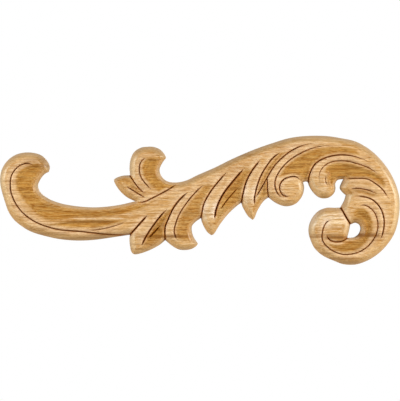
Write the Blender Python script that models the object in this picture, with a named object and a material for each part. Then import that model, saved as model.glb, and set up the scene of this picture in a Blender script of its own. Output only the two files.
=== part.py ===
"""Acanthus applique: one flat-backed piece of oak with a carved front, fixed by its back.

The front faces -Y, the flat back lies in the plane y = 0 and the length runs along X.
Every curve is drawn in units of its own, x to the right and y downwards, on a drawing that is
DRAWN_LENGTH units long. LENGTH sets its real size. All other sizes are in metres.
"""

import math

import bmesh
import bpy
import numpy as np
from mathutils import Vector
from mathutils.geometry import delaunay_2d_cdt

LENGTH = 0.300
THICKNESS = 0.012
EDGE_SHARE = 0.58
ROUNDOVER_WIDTH = 0.0048
CROWN_WIDTH = 0.010
CROWN_RISE = 0.0010
GROOVE_DEPTH = 0.0027
GROOVE_HALF_WIDTH = 0.00085
SHOULDER_DROP = 0.0017
SHOULDER_WIDTH = 0.0024
HOLLOW_DEPTH = 0.0014
LEAST_WOOD = 0.0030

OUTLINE_STEP = 0.0025
OUTLINE_SAG = 0.00010
GROOVE_STEP = 0.0023
GRID_STEP = 0.0022
LEAST_GAP = 0.0007
RIM_ROW = 0.30
SHOULDER_ROW = 0.85
BANK_ROW = 0.55

DRAWN_LENGTH = 398.8
DRAWN_ORIGIN = (200.0, 200.0)
FAR_OFF = 1e9

# The outline, clockwise from the crotch between the stem and the first leaf.
# Each run is one smooth curve that starts where the last one ends, and runs meet in corners.
OUTLINE = (
    # Underside of the stem and outer side of the hook.
    ((110.6, 237.6), (95.3, 239.7), (79.7, 240.5), (64.4, 239.6), (51.0, 237.3), (31.3, 231.5),
     (22.3, 226.2), (14.3, 219.5), (8.9, 211.4), (5.6, 202.4), (1.5, 188.0), (0.4, 179.0),
     (2.5, 169.0), (7.7, 161.0), (15.3, 155.3), (23.7, 152.8), (32.9, 152.8), (40.6, 155.0),
     (46.7, 160.3), (49.6, 167.0), (48.6, 171.8)),
    # Inner side of the hook and top of the stem.
    ((45.2, 173.5), (41.3, 177.5), (37.8, 185.5), (40.2, 192.1), (48.0, 198.4), (58.7, 202.8),
     (70.2, 205.3), (85.0, 207.0), (99.0, 207.2), (118.3, 205.1), (135.2, 201.3)),
    # Small lobe beside the curl, to its tip and back.
    ((126.8, 197.0), (119.2, 189.8), (114.6, 182.1), (114.0, 179.8)),
    ((116.5, 177.9), (120.3, 176.4), (124.1, 175.6), (130.2, 175.3)),
    # Outer side of the small curl.
    ((129.7, 168.0), (130.8, 159.2), (134.5, 151.9), (141.4, 147.7), (147.1, 146.9),
     (152.8, 146.9), (159.9, 149.4), (164.9, 154.9), (166.1, 157.8)),
    # Inner side of the curl, the long arch and the outer side of the great scroll.
    ((162.2, 163.0), (159.6, 169.5), (161.1, 175.6), (166.5, 180.9), (174.9, 182.5),
     (185.7, 180.7), (197.2, 175.3), (214.4, 167.8), (231.8, 159.2), (254.7, 149.4),
     (273.3, 142.9), (288.4, 138.4), (304.5, 136.2), (325.9, 136.2), (340.0, 138.2),
     (356.1, 142.0), (371.8, 151.6), (385.2, 165.9), (394.0, 181.2), (398.7, 196.8),
     (398.7, 214.0), (394.7, 231.3), (388.4, 242.4), (379.0, 252.6), (368.3, 259.8),
     (357.2, 264.0), (349.7, 264.7), (342.0, 263.8), (332.5, 260.2), (324.5, 256.6),
     (318.2, 252.0), (313.8, 246.8), (310.9, 240.5), (309.0, 234.4), (308.6, 229.0),
     (309.9, 223.0), (313.4, 216.3), (319.1, 210.7), (326.8, 207.8), (334.4, 207.7),
     (340.4, 207.6)),
    # Inner side of the scroll, up to the notch.
    ((344.3, 200.4), (345.9, 195.1)),
    ((342.8, 192.5), (339.9, 188.2), (341.2, 183.5), (343.4, 179.2)),
    # Round the sixth leaf's curled end.
    ((340.2, 179.4), (336.9, 180.4), (334.9, 184.0), (335.2, 188.1), (333.8, 193.0),
     (328.0, 197.8), (320.1, 197.8), (313.2, 192.4), (308.8, 185.0), (307.8, 182.0)),
    ((305.6, 181.5), (302.9, 182.4)),
    # Round the fifth leaf's ball.
    ((303.9, 187.5), (302.1, 195.6), (295.6, 203.6), (286.0, 206.3), (276.5, 203.3),
     (268.3, 197.4)),
    # The tips of the fourth, third, second and first leaves.
    ((263.6, 201.0), (257.5, 210.2), (254.1, 218.3), (252.5, 219.8)),
    ((248.3, 216.4), (243.0, 207.6), (241.2, 202.7)),
    ((236.1, 206.4), (227.7, 214.4), (220.0, 224.2), (213.6, 234.1), (211.3, 235.2)),
    ((207.1, 231.8), (202.1, 222.6), (200.9, 218.0)),
    ((195.6, 221.8), (192.2, 225.6), (191.8, 230.5), (193.7, 237.1), (197.9, 243.6)),
    ((196.7, 245.5), (193.7, 247.8), (188.7, 249.6), (179.1, 249.4), (171.5, 245.2),
     (165.3, 240.0)),
    ((160.2, 244.4), (148.7, 250.5), (137.2, 254.1), (133.8, 253.9), (131.5, 251.5),
     (130.0, 244.7), (129.6, 239.0), (130.0, 234.7)),
)

# The eye of the great scroll, which is cut right through.
EYE = (
    ((355.0, 222.8), (359.2, 224.6), (360.6, 228.4), (359.0, 233.4), (354.8, 237.0),
     (346.8, 237.7)),
    ((348.4, 231.8), (350.0, 224.4)),
)

# The cuts of the carving. Each one is a V groove along a curve, and its fields are:
# rib, the side of travel on which a rounded rib starts, L, R or B for both;
# fade, the lengths over which the groove runs out at its start and its end;
# deep, the depth of the groove as a share of GROOVE_DEPTH.
CUTS = {
    "hook": dict(
        path=((36.4, 167.2), (30.6, 163.8), (23.9, 164.3), (17.2, 168.4), (12.6, 175.4),
              (11.2, 184.0), (12.5, 194.2), (20.7, 209.4), (35.1, 221.2), (57.0, 229.0),
              (83.6, 231.6), (106.8, 234.2), (129.6, 235.2)),
        rib="B", fade=(10, 10), deep=0.7),
    "stem": dict(
        path=((87.0, 231.0), (103.0, 228.8), (114.4, 226.0), (127.8, 221.5)),
        rib="B", fade=(10, 16), deep=0.45),
    "curl": dict(
        path=((146.5, 157.2), (141.5, 162.1), (139.9, 168.7), (141.3, 176.7), (146.7, 184.4),
              (152.5, 189.8)),
        rib="R", fade=(5, 8), deep=0.6),
    "lobe": dict(
        path=((130.2, 175.6), (135.3, 183.5), (141.9, 191.1), (147.5, 194.2)),
        rib="L", fade=(0, 8), deep=0.75),
    "lobe_vein": dict(
        path=((126.5, 186.0), (135.6, 191.7), (143.3, 196.3), (146.5, 198.2)),
        rib="R", fade=(5, 6), deep=0.65),
    "curl_base": dict(
        path=((136.0, 201.8), (143.5, 202.0), (152.8, 197.8), (165.3, 191.3), (178.5, 183.3)),
        rib="R", fade=(8, 8), deep=0.75),
    "leaf_1": dict(
        path=((130.0, 235.0), (139.4, 224.3), (148.8, 214.0)),
        rib="B", fade=(0, 7), deep=1.0),
    "leaf_1_rib": dict(
        path=((141.3, 246.5), (147.2, 235.0), (154.7, 223.9), (162.3, 214.3), (169.0, 207.6)),
        rib="L", fade=(6, 12), deep=1.0),
    "leaf_1_vein": dict(
        path=((149.0, 237.6), (157.5, 228.7), (161.4, 224.8)),
        rib="L", fade=(2, 6), deep=0.95),
    "leaf_2": dict(
        path=((165.3, 240.0), (165.1, 227.5), (169.0, 217.2), (173.6, 207.6), (180.0, 199.3),
              (188.6, 191.3)),
        rib="R", fade=(0, 8), deep=0.95),
    "leaf_2_rib": dict(
        path=((177.6, 240.6), (174.5, 231.4), (176.1, 223.1), (179.9, 213.5), (188.5, 200.7),
              (197.5, 190.5), (204.5, 184.3)),
        rib="L", fade=(6, 10), deep=0.7),
    "leaf_3": dict(
        path=((200.9, 218.0), (203.7, 204.0), (209.8, 192.5), (218.3, 181.4), (227.4, 171.2)),
        rib="R", fade=(0, 9), deep=0.85),
    "leaf_3_rib": dict(
        path=((214.3, 220.5), (216.7, 207.8), (223.0, 194.4), (231.0, 183.7), (245.2, 167.0)),
        rib="L", fade=(6, 10), deep=1.1),
    "leaf_3_vein": dict(
        path=((220.0, 209.6), (227.9, 198.9), (238.4, 187.2)),
        rib="L", fade=(5, 6), deep=0.75),
    "leaf_4": dict(
        path=((241.2, 202.7), (242.6, 194.0), (246.3, 180.6), (252.5, 169.5), (261.0, 158.8)),
        rib="R", fade=(0, 8), deep=0.95),
    "leaf_4_rib": dict(
        path=((254.4, 205.2), (254.2, 199.1), (256.5, 187.8), (260.6, 176.1), (266.4, 166.2),
              (272.8, 158.0), (280.5, 152.2)),
        rib="L", fade=(4, 8), deep=0.85),
    "leaf_5": dict(
        path=((254.9, 198.0), (261.4, 187.1), (266.8, 177.5), (274.4, 165.3), (283.8, 156.0),
              (293.4, 149.4), (304.9, 144.9), (317.0, 142.6)),
        rib="R", fade=(6, 24), deep=0.75),
    "leaf_5_side": dict(
        path=((268.3, 197.4), (267.0, 190.0), (267.0, 177.6)),
        rib="R", fade=(0, 3), deep=0.7),
    "leaf_5_rib": dict(
        path=((283.5, 199.2), (276.6, 192.0), (274.7, 182.5), (278.5, 172.4), (287.7, 161.7),
              (299.1, 154.1), (312.6, 148.3), (327.8, 146.0), (345.0, 145.8)),
        rib="L", fade=(10, 50), deep=0.7),
    "ball": dict(
        path=((289.5, 197.4), (282.0, 194.9), (279.0, 188.0), (281.1, 181.5), (286.5, 177.8),
              (295.6, 176.9), (302.1, 182.6)),
        rib="R", fade=(5, 12), deep=0.78),
    "leaf_6": dict(
        path=((307.8, 182.0), (308.9, 174.6), (314.2, 164.3), (321.4, 159.4), (331.7, 156.0),
              (345.7, 155.3), (361.2, 159.0), (374.0, 165.8)),
        rib="R", fade=(0, 34), deep=0.85),
    "leaf_6_rib": dict(
        path=((320.6, 188.0), (318.8, 182.5), (318.6, 177.0), (320.2, 170.8), (324.0, 165.9),
              (331.7, 162.0), (345.7, 161.5), (357.0, 164.2), (368.6, 168.6), (378.5, 175.4)),
        rib="L", fade=(30, 12), deep=0.6),
    "leaf_6_curl": dict(
        path=((325.6, 175.5), (325.2, 180.9), (328.0, 187.4)),
        rib="R", fade=(4, 5), deep=0.25),
    "leaf_7": dict(
        path=((342.6, 178.9), (348.3, 178.8), (357.8, 178.5), (366.8, 179.2), (374.4, 183.4),
              (381.9, 189.7), (388.8, 200.6)),
        rib="R", fade=(8, 12), deep=0.6),
    "leaf_7_rib": dict(
        path=((347.6, 189.4), (357.2, 188.6), (367.5, 190.4), (376.8, 194.3)),
        rib="L", fade=(8, 8), deep=0.65),
    "leaf_8": dict(
        path=((350.0, 196.6), (360.3, 196.3), (371.8, 199.8), (380.2, 209.2), (383.3, 221.0),
              (381.8, 233.3), (378.6, 241.0)),
        rib="R", fade=(14, 9), deep=0.78),
    "leaf_8_rib": dict(
        path=((355.0, 207.0), (362.9, 205.2), (369.3, 208.1), (374.0, 213.6), (376.7, 222.7),
              (375.6, 232.8), (370.3, 242.1), (363.4, 248.6), (355.3, 252.7), (343.0, 254.1),
              (331.8, 250.1), (322.6, 241.3), (321.8, 232.9), (325.7, 222.5), (333.0, 219.2)),
        rib="L", fade=(14, 9), deep=0.65),
    "scroll_ball": dict(
        path=((324.9, 234.4), (329.5, 240.2), (336.4, 241.9), (342.5, 240.6), (346.8, 237.7)),
        rib="L", fade=(5, 0), deep=0.8),
    "notch": dict(
        path=((340.4, 207.6), (345.4, 217.1), (350.0, 224.4)),
        rib="B", fade=(0, 0), deep=1.0),
}

# The hollows between the ribs. Each one is scooped out inside a closed outline like the one
# above, and its fields are:
# bank, the length over which it falls from its edge to its full depth;
# deep, that depth as a share of HOLLOW_DEPTH.
HOLLOWS = {
    "hook": dict(
        runs=(((38.8, 174.0), (35.0, 180.0), (33.8, 186.6), (36.4, 194.2), (44.0, 201.4),
               (55.6, 206.4), (69.0, 209.2), (85.0, 211.0), (100.0, 211.2), (118.0, 209.2),
               (136.0, 205.6), (148.0, 202.8), (160.0, 197.2)),
              ((147.0, 206.2), (131.0, 211.8), (112.0, 216.2), (95.0, 217.2), (75.0, 217.6),
               (62.0, 219.4), (50.0, 220.3), (38.0, 214.3), (29.0, 205.5), (22.0, 196.5),
               (17.7, 188.0), (16.9, 180.5), (18.7, 173.8), (24.0, 168.8), (31.1, 165.2),
               (37.6, 163.4), (42.6, 166.6))),
        bank=5.0, deep=0.80),
    "stem": dict(
        runs=(((62.0, 222.0), (74.0, 220.2), (90.0, 219.6), (108.0, 219.6), (127.0, 220.0)),
              ((116.0, 223.4), (103.0, 226.4), (88.0, 227.6), (70.0, 227.0), (51.0, 224.6))),
        bank=3.5, deep=1.0),
    "curl": dict(
        runs=(((144.1, 162.0), (142.5, 168.6), (143.9, 175.9), (149.0, 183.1), (158.5, 192.0)),
              ((168.0, 187.4), (176.0, 183.6)),
              ((168.5, 184.6), (162.2, 182.2), (158.0, 177.0), (156.4, 170.0), (157.0, 165.0),
               (159.4, 161.0)),
              ((157.0, 158.3), (152.5, 157.4), (148.0, 157.8))),
        bank=5.0, deep=0.80),
    "lobe": dict(
        runs=(((131.4, 179.7), (135.9, 186.4), (140.8, 191.6), (146.9, 195.9)),
              ((140.3, 194.0), (133.9, 190.1), (126.5, 185.0), (120.5, 181.0)),
              ((125.5, 178.4),)),
        bank=3.0, deep=0.50),
    "leaf_1": dict(
        runs=(((162.7, 215.7), (155.8, 224.7), (149.9, 233.2), (145.7, 241.1), (143.8, 245.6)),
              ((150.0, 243.2), (157.0, 240.0), (163.5, 236.0)),
              ((163.8, 229.0), (166.3, 220.5), (170.0, 212.0), (172.5, 207.0))),
        bank=4.0, deep=0.80),
    "leaf_2": dict(
        runs=(((198.8, 191.5), (190.3, 201.5), (182.0, 213.5), (177.7, 222.6), (176.0, 231.0),
               (177.9, 238.8)),
              ((183.2, 240.2), (189.0, 239.6)),
              ((188.6, 233.0), (188.6, 227.0), (191.5, 222.2), (199.6, 215.2)),
              ((201.0, 207.5), (204.6, 198.0), (210.2, 189.5), (212.0, 185.8)),
              ((208.5, 184.6), (205.0, 185.5))),
        bank=5.0, deep=0.60),
    "leaf_3": dict(
        runs=(((234.2, 181.1), (226.2, 191.0), (219.5, 203.0), (216.5, 212.6), (215.4, 222.2)),
              ((220.0, 218.0), (227.0, 210.6), (234.0, 204.6), (240.2, 200.8)),
              ((241.4, 193.0), (243.8, 184.0), (247.5, 175.5), (251.0, 170.0)),
              ((244.5, 169.5),)),
        bank=4.5, deep=0.70),
    "leaf_4": dict(
        runs=(((273.8, 159.2), (267.4, 167.2), (261.6, 177.6), (257.6, 188.5), (255.5, 197.5)),
              ((260.5, 187.2), (265.9, 177.9), (273.4, 165.3), (281.0, 156.5), (286.5, 152.4)),
              ((281.0, 152.6),)),
        bank=2.5, deep=0.65),
    "leaf_4_tip": dict(
        runs=(((261.7, 187.8), (257.3, 196.5), (255.3, 202.0), (255.4, 209.5)),
              ((259.1, 204.2), (263.0, 199.2), (267.1, 195.6)),
              ((266.2, 188.0), (266.5, 179.5))),
        bank=3.0, deep=0.65),
    "arch": dict(
        runs=(((329.0, 147.4), (314.0, 149.6), (300.5, 155.2), (289.5, 163.0), (281.6, 171.7),
               (279.0, 177.2)),
              ((286.1, 175.2), (294.0, 174.0), (299.9, 176.3), (303.8, 180.6)),
              ((306.9, 179.6),),
              ((308.0, 173.4), (313.0, 164.1), (320.6, 158.1), (331.0, 154.4), (345.0, 153.4),
               (359.8, 156.2)),
              ((355.0, 150.5), (346.0, 147.4))),
        bank=6.0, deep=0.75),
    "leaf_6": dict(
        runs=(((368.9, 170.4), (357.3, 166.0), (345.8, 163.3), (332.2, 163.8), (325.8, 167.3),
               (324.4, 171.5)),
              ((326.8, 175.5), (326.8, 181.0), (329.6, 186.6), (331.6, 187.0), (333.0, 183.8),
               (334.4, 180.4), (337.6, 178.8)),
              ((345.0, 177.6), (358.0, 177.0), (367.5, 177.6), (376.0, 182.0), (383.8, 188.2)),
              ((383.0, 181.0), (379.0, 176.0))),
        bank=4.0, deep=0.80),
    "leaf_7": dict(
        runs=(((357.0, 189.9), (366.9, 191.7), (377.8, 196.1)),
              ((369.9, 196.5), (363.4, 194.3), (357.0, 192.8), (348.0, 190.6))),
        bank=2.0, deep=0.55),
    "scroll": dict(
        runs=(((358.5, 208.0), (362.5, 208.2), (366.2, 210.9), (369.3, 215.9), (371.4, 223.0),
               (370.6, 231.5), (366.8, 239.6), (361.1, 246.1), (354.0, 250.6), (343.0, 251.8),
               (333.0, 248.4), (325.6, 242.8)),
              ((330.0, 243.8), (337.0, 245.0), (344.5, 243.1), (350.0, 240.9), (356.0, 240.4),
               (361.5, 237.0), (364.4, 231.0), (364.2, 225.0), (361.6, 220.6), (356.0, 218.2)),
              ((353.4, 215.6), (353.4, 211.4), (355.6, 208.4))),
        bank=5.0, deep=0.80),
    "scroll_lip": dict(
        runs=(((327.0, 235.4), (331.5, 239.2), (337.0, 240.8), (342.5, 239.6), (346.4, 237.0)),
              ((340.0, 236.2), (333.0, 235.2))),
        bank=2.0, deep=0.50),
}


def to_metres(points):
    """Turns drawn points into metres, X to the right and Z upwards."""
    scale = LENGTH / DRAWN_LENGTH
    points = np.asarray(points, float)
    return np.column_stack([
        (points[:, 0] - DRAWN_ORIGIN[0]) * scale,
        (DRAWN_ORIGIN[1] - points[:, 1]) * scale,
    ])


def smooth_curve(points, step=0.0005):
    """A smooth curve through the points, in steps of about the given length."""
    first = 2 * points[0] - points[1]
    last = 2 * points[-1] - points[-2]
    knots = [first, *points, last]
    made = []
    for a, b, c, d in zip(knots, knots[1:], knots[2:], knots[3:]):
        t1 = math.sqrt(np.linalg.norm(b - a))
        t2 = t1 + math.sqrt(np.linalg.norm(c - b))
        t3 = t2 + math.sqrt(np.linalg.norm(d - c))
        count = max(2, math.ceil(np.linalg.norm(c - b) / step))
        for k in range(count):
            t = t1 + (t2 - t1) * k / count
            ab = (a * (t1 - t) + b * t) / t1
            bc = (b * (t2 - t) + c * (t - t1)) / (t2 - t1)
            cd = (c * (t3 - t) + d * (t - t2)) / (t3 - t2)
            abc = (ab * (t2 - t) + bc * t) / t2
            bcd = (bc * (t3 - t) + cd * (t - t1)) / (t3 - t1)
            made.append((abc * (t2 - t) + bcd * (t - t1)) / (t2 - t1))
    made.append(points[-1])
    return np.array(made)


def thin_curve(curve, step, sag):
    """Leaves out points while the chord stays shorter than step and within sag of the curve."""
    kept = [0]
    k = 1
    while k < len(curve) - 1:
        a = curve[kept[-1]]
        b = curve[k + 1]
        along = b - a
        length = max(np.linalg.norm(along), 1e-9)
        between = curve[kept[-1] + 1:k + 1] - a
        off = np.abs(along[0] * between[:, 1] - along[1] * between[:, 0]) / length
        if length > step or off.max() > sag:
            kept.append(k)
        k += 1
    kept.append(len(curve) - 1)
    return curve[kept]


def even_curve(curve, step):
    """The same curve in equal steps of about the given length."""
    lengths = np.r_[0, np.cumsum(np.linalg.norm(np.diff(curve, axis=0), axis=1))]
    count = max(2, round(lengths[-1] / step))
    at = np.linspace(0, lengths[-1], count + 1)
    return np.column_stack([np.interp(at, lengths, curve[:, k]) for k in (0, 1)])


def closed_loop(runs, step, sag):
    """The corners and smooth runs of an outline as one closed ring of points."""
    start = runs[-1][-1]
    ring = []
    for run in runs:
        curve = smooth_curve(to_metres((start, *run)))
        ring.extend(thin_curve(curve, step, sag)[:-1])
        start = run[-1]
    return np.array(ring)


def nearest(points, line, closed=False, reach=1.0):
    """Distance, signed side, place along the line and overshoot past its ends, of each point.

    A point that is further away in X than reach keeps a distance of FAR_OFF.
    """
    starts = line if closed else line[:-1]
    ends = np.roll(line, -1, axis=0) if closed else line[1:]
    along = ends - starts
    lengths = np.linalg.norm(along, axis=1)
    before = np.r_[0, np.cumsum(lengths)]
    order = np.argsort(points[:, 0])
    points = points[order]
    best = np.full(len(points), FAR_OFF)
    side = np.ones(len(points))
    place = np.zeros(len(points))
    beyond = np.zeros(len(points))
    for k in range(len(starts)):
        if lengths[k] < 1e-9:
            continue
        left, right = sorted((starts[k][0], ends[k][0]))
        low, high = np.searchsorted(points[:, 0], (left - reach, right + reach))
        part = slice(low, high)
        unit = along[k] / lengths[k]
        off = points[part] - starts[k]
        run = off @ unit
        held = np.clip(run, 0, lengths[k])
        gap = np.hypot(*(off - held[:, None] * unit).T)
        closer = gap < best[part] - 1e-12
        best[part][closer] = gap[closer]
        cross = unit[0] * off[:, 1] - unit[1] * off[:, 0]
        side[part][closer] = np.where(cross[closer] >= 0, 1.0, -1.0)
        place[part][closer] = before[k] + held[closer]
        over = np.abs(run - held)
        first = not closed and k == 0
        last = not closed and k == len(starts) - 1
        at_end = (first & (run < 0)) | (last & (run > lengths[k]))
        beyond[part][closer] = np.where(at_end[closer], over[closer], 0.0)
    back = np.argsort(order)
    return best[back], side[back], place[back], beyond[back], before[-1]


def inside(points, ring):
    """Whether each point is inside the closed ring."""
    boxed = np.all((points >= ring.min(axis=0)) & (points <= ring.max(axis=0)), axis=1)
    x, z = points[boxed].T
    within = np.zeros(len(x), bool)
    for a, b in zip(ring, np.roll(ring, -1, axis=0)):
        spans = (a[1] > z) != (b[1] > z)
        if a[1] != b[1]:
            cut = a[0] + (z - a[1]) * (b[0] - a[0]) / (b[1] - a[1])
            within ^= spans & (x < cut)
    found = np.zeros(len(points), bool)
    found[boxed] = within
    return found


def ease(t):
    """A smooth step from 0 to 1."""
    t = np.clip(t, 0, 1)
    return t * t * (3 - 2 * t)


def quarter_round(t):
    """A quarter of a circle, rising steeply from 0 at t = 0 and level at t = 1."""
    t = np.clip(t, 0, 1)
    return np.sqrt(1 - (1 - t) ** 2)


def strength(cut, place, total):
    """How deep a groove is along its path, as a share, from the fades at its two ends."""
    scale = LENGTH / DRAWN_LENGTH
    share = np.ones(len(place))
    start, end = (fade * scale for fade in cut["fade"])
    if start:
        share = np.minimum(share, ease(place / start))
    if end:
        share = np.minimum(share, ease((total - place) / end))
    return share


def cut_line(cut):
    """The path of a cut, in metres."""
    return smooth_curve(to_metres(cut["path"]), 0.0010)


def hollow_ring(hollow):
    """The closed edge of a hollow, in metres."""
    return closed_loop(hollow["runs"], OUTLINE_STEP, OUTLINE_SAG)


def carve(points, rings):
    """Height of the front over the back plane at each point."""
    edge = np.full(len(points), FAR_OFF)
    for ring in rings:
        edge = np.minimum(edge, nearest(points, ring, closed=True, reach=CROWN_WIDTH)[0])
    edge_drop = THICKNESS * (1 - EDGE_SHARE)
    crown = CROWN_RISE * (1 - ease(edge / CROWN_WIDTH))
    loss = (edge_drop - CROWN_RISE) * np.clip(1 - edge / ROUNDOVER_WIDTH, 0, 1) ** 2 + crown
    for hollow in HOLLOWS.values():
        ring = hollow_ring(hollow)
        bank = hollow["bank"] * LENGTH / DRAWN_LENGTH
        depth = nearest(points, ring, closed=True, reach=bank)[0] / bank
        scoop = HOLLOW_DEPTH * hollow["deep"] * ease(depth)
        loss = np.where(inside(points, ring), np.maximum(loss, scoop + crown), loss)
    cuts = np.zeros(len(points))
    for cut in CUTS.values():
        found = nearest(points, cut_line(cut), reach=SHOULDER_WIDTH)
        gap, side, place, beyond, total = found
        share = strength(cut, place, total)
        near = np.clip(1 - beyond / SHOULDER_WIDTH, 0, 1)
        ribs = {"L": side > 0, "R": side < 0, "B": side != 0}[cut["rib"]]
        shoulder = SHOULDER_DROP * share * near * (1 - quarter_round(gap / SHOULDER_WIDTH))
        loss = np.where(ribs, np.maximum(loss, shoulder + crown), loss)
        cuts = np.maximum(cuts, share * cut["deep"] - gap / GROOVE_HALF_WIDTH)
    height = THICKNESS - loss - GROOVE_DEPTH * cuts
    return np.maximum(height, LEAST_WOOD)


def spaced(candidates, taken, spacing):
    """The candidates, in order, that keep their spacing from all points already taken."""
    grid = {}
    for x, z in taken:
        grid.setdefault((int(x // spacing), int(z // spacing)), []).append((x, z))
    kept = []
    for x, z in candidates:
        i, j = int(x // spacing), int(z // spacing)
        near = False
        for di in (-1, 0, 1):
            for dj in (-1, 0, 1):
                for qx, qz in grid.get((i + di, j + dj), ()):
                    if math.hypot(x - qx, z - qz) < spacing:
                        near = True
        if not near:
            grid.setdefault((i, j), []).append((x, z))
            kept.append((x, z))
    return kept


def beside(line, closed=False):
    """The unit vectors that point to the left of the line at its points."""
    if closed:
        along = np.roll(line, -1, axis=0) - np.roll(line, 1, axis=0)
    else:
        along = np.gradient(line, axis=0)
    along /= np.linalg.norm(along, axis=1)[:, None]
    return np.column_stack([-along[:, 1], along[:, 0]])


def front_points(rings):
    """All points of the front: rings, cuts, rows along all of these, and a grid between them."""
    points = [tuple(p) for ring in rings for p in ring]
    edges = []
    start = 0
    for ring in rings:
        count = len(ring)
        edges.extend((start + k, start + (k + 1) % count) for k in range(count))
        start += count
    border = len(points)

    def clear(found, margin):
        found = np.asarray(found)
        gaps = [nearest(found, ring, closed=True)[0] for ring in rings]
        good = inside(found, rings[0]) & ~inside(found, rings[1])
        return [tuple(p) for p in found[good & (np.min(gaps, axis=0) > margin)]]

    sides, shoulders = [], []
    for cut in CUTS.values():
        line = even_curve(cut_line(cut), GROOVE_STEP)
        free = set(spaced(clear(line, LEAST_GAP), points, LEAST_GAP))
        last = None
        for point in map(tuple, line):
            if point not in free:
                last = None
                continue
            points.append(point)
            if last is not None:
                edges.append((last, len(points) - 1))
            last = len(points) - 1
        total = np.linalg.norm(np.diff(line, axis=0), axis=1).sum()
        share = strength(cut, np.linspace(0, total, len(line)), total) * cut["deep"]
        wide = np.maximum(share, 0.5) * GROOVE_HALF_WIDTH
        left = beside(line)
        sides.extend(line + wide[:, None] * left)
        sides.extend(line - wide[:, None] * left)
        if cut["rib"] != "R":
            shoulders.extend(line + SHOULDER_ROW * SHOULDER_WIDTH * left)
        if cut["rib"] != "L":
            shoulders.extend(line - SHOULDER_ROW * SHOULDER_WIDTH * left)
    banks, floors = [], []
    for hollow in HOLLOWS.values():
        ring = hollow_ring(hollow)
        line = even_curve(np.vstack([ring, ring[:1]]), GROOVE_STEP)
        banks.extend(line)
        low = BANK_ROW * hollow["bank"] * LENGTH / DRAWN_LENGTH * beside(line)
        floors.extend(p for p in np.vstack([line + low, line - low]) if inside(p[None], ring)[0])
    rims, tops = [], []
    for ring in rings:
        left = beside(ring, closed=True)
        for sign in (1, -1):
            rims.extend(ring + sign * RIM_ROW * ROUNDOVER_WIDTH * left)
            tops.extend(ring + sign * ROUNDOVER_WIDTH * left)
    low, high = rings[0].min(axis=0), rings[0].max(axis=0)
    grid = []
    for j, z in enumerate(np.arange(low[1], high[1], GRID_STEP * math.sqrt(3) / 2)):
        for x in np.arange(low[0] + (j % 2) * GRID_STEP / 2, high[0], GRID_STEP):
            grid.append((x, z))
    for found, margin, spacing in (
        (sides, LEAST_GAP, LEAST_GAP),
        (rims, 0.9 * RIM_ROW * ROUNDOVER_WIDTH, 1.4 * LEAST_GAP),
        (banks, 0.5 * ROUNDOVER_WIDTH, 0.5 * GRID_STEP),
        (shoulders, 0.5 * ROUNDOVER_WIDTH, 0.5 * GRID_STEP),
        (tops, 0.9 * ROUNDOVER_WIDTH, 0.6 * GRID_STEP),
        (floors, 0.5 * ROUNDOVER_WIDTH, 0.6 * GRID_STEP),
        (grid, 0.5 * ROUNDOVER_WIDTH, 0.75 * GRID_STEP),
    ):
        points.extend(spaced(clear(found, margin), points, spacing))
    return points, edges, border


def triangles_inside(points, edges, rings):
    """Triangles over the points that keep the edges, only those inside the outline."""
    flat = [Vector(p) for p in points]
    made, _, faces, *_ = delaunay_2d_cdt(flat, edges, [], 0, 1e-7)
    made = np.array([(p.x, p.y) for p in made])
    faces = np.array([f for f in faces if len(f) == 3])
    middle = made[faces].mean(axis=1)
    good = inside(middle, rings[0]) & ~inside(middle, rings[1])
    return made, faces[good]


def build():
    for old in list(bpy.data.objects):
        bpy.data.objects.remove(old)
    rings = [closed_loop(runs, OUTLINE_STEP, OUTLINE_SAG) for runs in (OUTLINE, EYE)]
    points, edges, border = front_points(rings)
    flat, faces = triangles_inside(points, edges, rings)
    heights = carve(flat, rings)
    edge_points, edge_edges = points[:border], [e for e in edges if max(e) < border]
    back_flat, back_faces = triangles_inside(edge_points, edge_edges, rings)

    mesh = bmesh.new()
    front = [mesh.verts.new((x, -h, z)) for (x, z), h in zip(flat, heights)]
    back = [mesh.verts.new((x, 0.0, z)) for x, z in back_flat]
    for a, b, c in faces:
        mesh.faces.new((front[a], front[b], front[c]))
    for a, b, c in back_faces:
        mesh.faces.new((back[c], back[b], back[a]))
    for a, b in edge_edges:
        mesh.faces.new((front[a], front[b], back[b], back[a]))
    loose = [v for v in mesh.verts if not v.link_faces]
    bmesh.ops.delete(mesh, geom=loose, context="VERTS")
    bmesh.ops.triangulate(mesh, faces=mesh.faces[:])
    bmesh.ops.recalc_face_normals(mesh, faces=mesh.faces[:])
    data = bpy.data.meshes.new("acanthus_applique")
    mesh.to_mesh(data)
    mesh.free()
    piece = bpy.data.objects.new("acanthus_applique", data)
    bpy.context.scene.collection.objects.link(piece)

    wood = bpy.data.materials.new("oak")
    wood.use_nodes = True
    shader = wood.node_tree.nodes["Principled BSDF"]
    shader.inputs["Base Color"].default_value = (0.60, 0.36, 0.15, 1.0)
    shader.inputs["Roughness"].default_value = 0.42
    data.materials.append(wood)


build()
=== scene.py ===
"""The carved oak applique, dressed: fine carving on the solid's form, oak and studio light."""

import math

import bpy
import numpy as np
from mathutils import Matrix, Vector
from mathutils.geometry import delaunay_2d_cdt


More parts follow.
